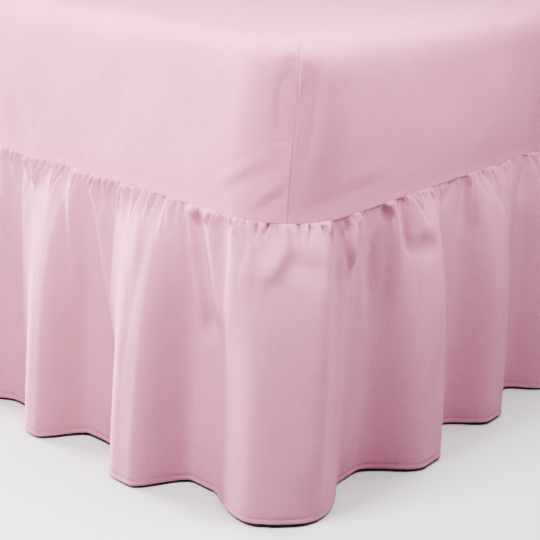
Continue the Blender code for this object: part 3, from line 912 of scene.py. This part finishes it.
def stitch_mesh(name, paths):
    """One mesh of spindles, one for each stitch along each path of points and directions."""
    verts, faces, count = [], [], 0
    for path, out in paths:
        last = places_along(path, STITCH, STITCH_STEP)
        first = places_along(path, 0.0, STITCH_STEP)[: len(last)]
        facing = unit(places_along(path + out * ASIDE, 0.0, STITCH_STEP)[: len(last)] - first)
        across = np.cross(unit(last - first), facing)
        ring = []
        for share, size, lift in SPINDLE:
            middle = first + (last - first) * share + facing * THREAD * lift
            for outward, sideways in SPINDLE_SIDES:
                ring.append(middle + (facing * outward + across * sideways) * THREAD * size)
        verts.append(np.stack(ring, axis=1).reshape(-1, 3))
        base = count + np.arange(len(first))[:, None, None] * len(ring)
        faces.append((base + np.array(SPINDLE_FACES)).reshape(-1, 4))
        count += len(first) * len(ring)
    loops = np.concatenate(faces).ravel()
    sizes = np.full(len(loops) // 4, 4)
    return mesh_from_arrays(name, np.concatenate(verts), loops, sizes, np.zeros((len(loops), 2)))


hem_path = frill_grid[HEM_STITCH_ROW]
tangent = np.roll(hem_path, -1, axis=0) - np.roll(hem_path, 1, axis=0)
hem_out = unit(np.stack([tangent[:, 1], -tangent[:, 0], np.zeros(len(tangent))], axis=-1))
paths = [(hem_path, hem_out)]
rows = np.flatnonzero((climb > DART_CLIMB[0]) & (climb < DART_CLIMB[1]))
for corner in CORNERS:
    column = int(np.abs(from_corner(sheet_along, corner)).argmin())
    paths.append((grid[rows, column], np.append(outline([corner])[1], 0.0)))
stitches = stitch_mesh("seam_stitches", paths)
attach(stitches, "root")
print("stitches:", len(stitches.data.polygons) // len(SPINDLE_FACES))

# %% [markdown]
# ## Colours and nodes
#
# Colours are easiest to pick as sRGB hex values, but Blender's sockets want linear ones. A
# material is a chain of nodes, so one small function adds a node with its settings and links.

# %% Helpers for materials


def linear(hex_colour):
    """An sRGB hex colour as the linear colour that a socket wants."""
    parts = [int(hex_colour[i : i + 2], 16) / 255 for i in (1, 3, 5)]
    return (*[p / 12.92 if p <= 0.04045 else ((p + 0.055) / 1.055) ** 2.4 for p in parts], 1.0)


def add(tree, kind, inputs=None, **settings):
    """Add a node. Inputs are values, sockets to link from, or nodes with one result."""
    node = tree.nodes.new("ShaderNode" + kind)
    for name, value in settings.items():
        setattr(node, name, value)
    for key, value in (inputs or {}).items():
        if isinstance(value, bpy.types.Node):
            value = value.outputs[0]
        if isinstance(value, bpy.types.NodeSocket):
            tree.links.new(value, node.inputs[key])
        else:
            node.inputs[key].default_value = value
    return node


def new_material(name, **surface):
    """A material with a Principled surface whose constants are set on its own sockets."""
    material = bpy.data.materials.new(name)
    material.use_nodes = True
    shader = material.node_tree.nodes["Principled BSDF"]
    for socket, value in surface.items():
        shader.inputs[socket.replace("_", " ")].default_value = value
    return material, material.node_tree, shader


def two_tone(tree, shader, share, hex_low, hex_high):
    """Colour a surface between two tones, by a share from 0 to 1."""
    tones = {"Factor": share, "A": linear(hex_low), "B": linear(hex_high)}
    mixed = add(tree, "Mix", tones, data_type="RGBA")
    tree.links.new(mixed.outputs["Result"], shader.inputs["Base Color"])


print("pink of the frill, linear:", [round(v, 3) for v in linear("#cc94a8")[:3]])

# %% [markdown]
# ## Polycotton percale
#
# The skirt is a percale: a close plain weave of polyester and cotton threads, dyed in the piece
# and calendered, which means pressed flat between hot rollers. The eye sees a matt, slightly
# crisp cloth with a soft bloom at its edges and faint slubs, where a thread is a little thicker.
# Real threads are 0.18 mm apart, too fine for a picture of a whole bed corner, so the weave is
# drawn at 1.1 mm. Slubs run along the threads, and crumples of two sizes break up the light. Just
# below the seam the frill also has puffs and streaks that are too fine for the mesh.

# %% Percale
THREAD_SPACING = 0.0011
SLUB = (0.0016, 0.024)  # width and length
CRUMPLES = [
    # size, height
    (0.042, 0.0016),
    (0.013, 0.0006),
]
GATHER_BUMPS = [
    # width, length, drop where they start to fade, drop where they are gone, height
    (0.0160, 0.0800, 0.020, 0.220, 0.0014),
    (0.0046, 0.0110, 0.004, 0.026, 0.0016),
]


def weave(tree, place):
    """Height of a plain weave: two sets of threads that take turns on top."""
    axes = add(tree, "SeparateXYZ", {0: place})
    turns = {1: math.pi / THREAD_SPACING}
    ridges = []
    for axis in ("X", "Y"):
        phase = add(tree, "Math", {0: axes.outputs[axis], **turns}, operation="MULTIPLY")
        wave = add(tree, "Math", {0: phase}, operation="SINE")
        ridges.append(add(tree, "Math", {0: wave}, operation="ABSOLUTE"))
    counts = {0: place, 1: (1 / THREAD_SPACING, 1 / THREAD_SPACING, 1)}
    cells = add(tree, "VectorMath", counts, operation="MULTIPLY")
    over = add(tree, "TexChecker", {"Vector": cells, "Scale": 1.0})
    return add(tree, "Mix", {0: over.outputs["Fac"], 2: ridges[0], 3: ridges[1]})


def slubs(tree, place, seed):
    """Uneven threads in both directions, as one value around one half."""
    found = []
    for width, length in (SLUB, SLUB[::-1]):
        counts = {0: place, 1: (1 / width, 1 / length, 1)}
        cells = add(tree, "VectorMath", counts, operation="MULTIPLY")
        uneven = {"Vector": cells, "W": seed, "Scale": 1.0, "Detail": 3.0}
        found.append(add(tree, "TexNoise", uneven, noise_dimensions="4D"))
    both = add(tree, "Math", {0: found[0], 1: found[1]}, operation="ADD")
    return add(tree, "Math", {0: both, 1: 0.5}, operation="MULTIPLY")


def gather_bumps(tree, place, normal):
    """Puffs and streaks that start at the seam and fade out down the frill."""
    drop = add(tree, "SeparateXYZ", {0: place}).outputs["Y"]
    for width, length, starts, gone, height in GATHER_BUMPS:
        counts = {0: place, 1: (1 / width, 1 / length, 1)}
        cells = add(tree, "VectorMath", counts, operation="MULTIPLY")
        puffs = add(tree, "TexNoise", {"Vector": cells, "Scale": 1.0, "Detail": 2.0})
        fade = {"Value": drop, "From Min": starts, "From Max": gone, "To Min": 1.0, "To Max": 0.0}
        left = add(tree, "MapRange", fade, interpolation_type="SMOOTHSTEP")
        faded = add(tree, "Math", {0: puffs, 1: left}, operation="MULTIPLY")
        raised = {"Height": faded, "Strength": 1.0, "Distance": height, "Normal": normal}
        normal = add(tree, "Bump", raised)
    return normal


def percale(name, hex_thin, hex_thick, seed, gathered):
    """The woven cloth, with the gathers' puffs where it is gathered."""
    material, tree, shader = new_material(
        name, Roughness=0.82, Specular_IOR_Level=0.2, Sheen_Weight=0.03, Sheen_Roughness=0.5
    )
    place = add(tree, "UVMap", uv_map="cloth")
    uneven = slubs(tree, place, seed)
    two_tone(tree, shader, uneven, hex_thin, hex_thick)
    normal = add(tree, "NewGeometry").outputs["Normal"]
    for size, height in CRUMPLES:
        soft = {"Vector": place, "Scale": 1 / size, "Detail": 3.0, "Roughness": 0.5}
        crumple = add(tree, "TexNoise", soft)
        raised = {"Height": crumple, "Strength": 1.0, "Distance": height, "Normal": normal}
        normal = add(tree, "Bump", raised)
    if gathered:
        normal = gather_bumps(tree, place, normal)
    raised = {"Height": uneven, "Strength": 0.3, "Distance": 0.0006, "Normal": normal}
    slub = add(tree, "Bump", raised)
    raised = {"Height": weave(tree, place), "Strength": 0.25, "Distance": 0.0002, "Normal": slub}
    tree.links.new(add(tree, "Bump", raised).outputs[0], shader.inputs["Normal"])
    return material


sheet_percale = percale("polycotton percale of the sheet", "#bd7890", "#d092a8", 3.0, False)
frill_percale = percale("polycotton percale of the frill", "#b97a8f", "#cc94a8", 8.0, True)
sheet.data.materials.append(sheet_percale)
frill.data.materials.append(frill_percale)

# %% [markdown]
# ## Thread, ticking and upholstery
#
# The thread is spun polyester, twisted from two strands and dyed to match the cloth. Under
# the skirt the mattress has cotton ticking, a strong twill that shows diagonal ribs, and the base
# has a coarse woven polyester. Both are almost out of sight, but someone who lifts the frill
# sees them. Real ribs are 1 to 3 mm apart, too fine to show on a whole bed, so these are drawn
# 18 mm apart on the mattress and 19 mm apart on the base.

# %% Thread, ticking, upholstery
TWIST = 350.0  # draws a strand every 1.8 mm along the thread, coarser than a real twist
TICKING_RIBS, UPHOLSTERY_RIBS = 25.0, 50 / 3  # scales that draw ribs 18 and 19 mm apart
MOTTLE = 60.0  # draws spots of about 17 mm

thread_material, tree, shader = new_material("spun polyester thread", Roughness=0.6)
place = add(tree, "TexCoord").outputs["Object"]
strands = {"Vector": place, "Scale": TWIST, "Distortion": 0.5}
twist = add(tree, "TexWave", strands, bands_direction="DIAGONAL")
two_tone(tree, shader, twist.outputs["Fac"], "#c0819a", "#cf93a8")
stitches.data.materials.append(thread_material)


def woven_cover(name, hex_low, hex_high, scale, direction):
    """A cover cloth with ribs, for the things under the skirt."""
    material, tree, shader = new_material(name, Roughness=0.85)
    place = add(tree, "TexCoord").outputs["Object"]
    rows = {"Vector": place, "Scale": scale, "Distortion": 0.4, "Detail": 2.0}
    ribs = add(tree, "TexWave", rows, bands_direction=direction)
    mottle = add(tree, "TexNoise", {"Vector": place, "Scale": MOTTLE, "Detail": 4.0})
    both = add(tree, "Math", {0: ribs.outputs["Fac"], 1: mottle}, operation="ADD")
    half = add(tree, "Math", {0: both, 1: 0.5}, operation="MULTIPLY")
    two_tone(tree, shader, half, hex_low, hex_high)
    bump = add(tree, "Bump", {"Height": half, "Strength": 0.3, "Distance": 0.0004})
    tree.links.new(bump.outputs[0], shader.inputs["Normal"])
    return material


ticking = woven_cover("cotton twill ticking", "#d9d4c6", "#efebe0", TICKING_RIBS, "DIAGONAL")
upholstery = woven_cover(
    "woven polyester upholstery", "#b9b2a8", "#d3cdc4", UPHOLSTERY_RIBS, "X"
)
for node, material in (("mattress", ticking), ("base", upholstery)):
    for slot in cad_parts[node].material_slots:
        slot.material = material
print("materials:", sorted(material.name for material in bpy.data.materials))

# %% [markdown]
# ## The camera
#
# The picture is taken from a little above the mattress, about 1.5 m from the corner, with a
# short telephoto view that keeps the upright folds upright. The camera leans by three degrees.

# %% Camera
CAMERA_PLACE = (1.593, -2.165, 0.915)
TURN, TIP, ROLL = (math.radians(angle) for angle in (38.01, 20.01, 3.31))
SENSOR = 36.0
FOCAL_PIXELS = 1246  # the focal length in pixels of a picture 540 pixels wide
PICTURE_PIXELS = 540
LENS = SENSOR * FOCAL_PIXELS / PICTURE_PIXELS

forward = Vector(
    (-math.sin(TURN) * math.cos(TIP), math.cos(TURN) * math.cos(TIP), -math.sin(TIP))
)
level = Vector((math.cos(TURN), math.sin(TURN), 0.0))
sunk = forward.cross(level)
right = math.cos(ROLL) * level - math.sin(ROLL) * sunk
up = -(math.sin(ROLL) * level + math.cos(ROLL) * sunk)
lens = bpy.data.cameras.new("camera")
lens.sensor_width = SENSOR
lens.lens = LENS
camera = new_object("camera", lens)
camera.matrix_world = Matrix((*zip(right, up, -forward, CAMERA_PLACE), (0, 0, 0, 1)))
bpy.context.scene.camera = camera
print("lens:", round(LENS, 1), "mm")

# %% [markdown]
# ## Floor and light
#
# A plain pale floor and soft studio light. The main light is a large soft box far to the left,
# low and almost in line with the foot end, so each fold gets a bright left flank and a shaded
# right one. One above and behind brightens the deck, and one above the foot end fills the corner.
# Two small weak ones above the long side keep the sheet's box side there from going dull, and the
# pale surroundings fill in the rest.

# %% Floor
FLOOR_HALF = 7.0
FLOOR_CORNERS = [(-1, -1), (1, -1), (1, 1), (-1, 1)]

floor_mesh = bpy.data.meshes.new("studio_floor")
floor_points = [(x * FLOOR_HALF, y * FLOOR_HALF, 0.0) for x, y in FLOOR_CORNERS]
floor_mesh.from_pydata(floor_points, [], [(0, 1, 2, 3)])
floor = new_object("studio_floor", floor_mesh)
floor_paint, tree, shader = new_material("matt floor paint", Roughness=0.9)
mottle = add(tree, "TexNoise", {"Scale": 3.0, "Detail": 2.0})
two_tone(tree, shader, mottle, "#c8c7c6", "#cecdcc")
floor_mesh.materials.append(floor_paint)

# %% Light
CORNER_LOOK = Vector((0.67, -0.95, 0.33))
SOFT_BOXES = [
    # name, direction from the corner, distance, size, power
    ("left soft box", (-0.97, -0.17, 0.17), 3.0, 1.3, 234.0),
    ("back soft box", (0.00, 0.42, 0.91), 3.0, 1.3, 52.0),
    ("front soft box", (-0.27, -0.75, 0.97), 1.26, 0.5, 27.6),
    ("near soft box", (0.43, 0.20, 0.72), 0.86, 0.4, 3.9),
    ("side soft box", (0.58, 0.50, 0.77), 1.09, 0.4, 6.3),
]
SURROUNDINGS = 0.19

for name, direction, distance, size, power in SOFT_BOXES:
    light = bpy.data.lights.new(name, "AREA")
    light.energy = power
    light.size = size
    soft_box = new_object(name, light)
    soft_box.location = CORNER_LOOK + Vector(direction).normalized() * distance
    aim = CORNER_LOOK - soft_box.location
    soft_box.rotation_euler = aim.to_track_quat("-Z", "Y").to_euler()

studio = bpy.data.worlds.new("pale studio")
studio.use_nodes = True
background = studio.node_tree.nodes["Background"]
background.inputs["Color"].default_value = linear("#ffffff")
background.inputs["Strength"].default_value = SURROUNDINGS
bpy.context.scene.world = studio
view = bpy.context.scene.view_settings
view.view_transform = "AgX"
view.look = "AgX - High Contrast"
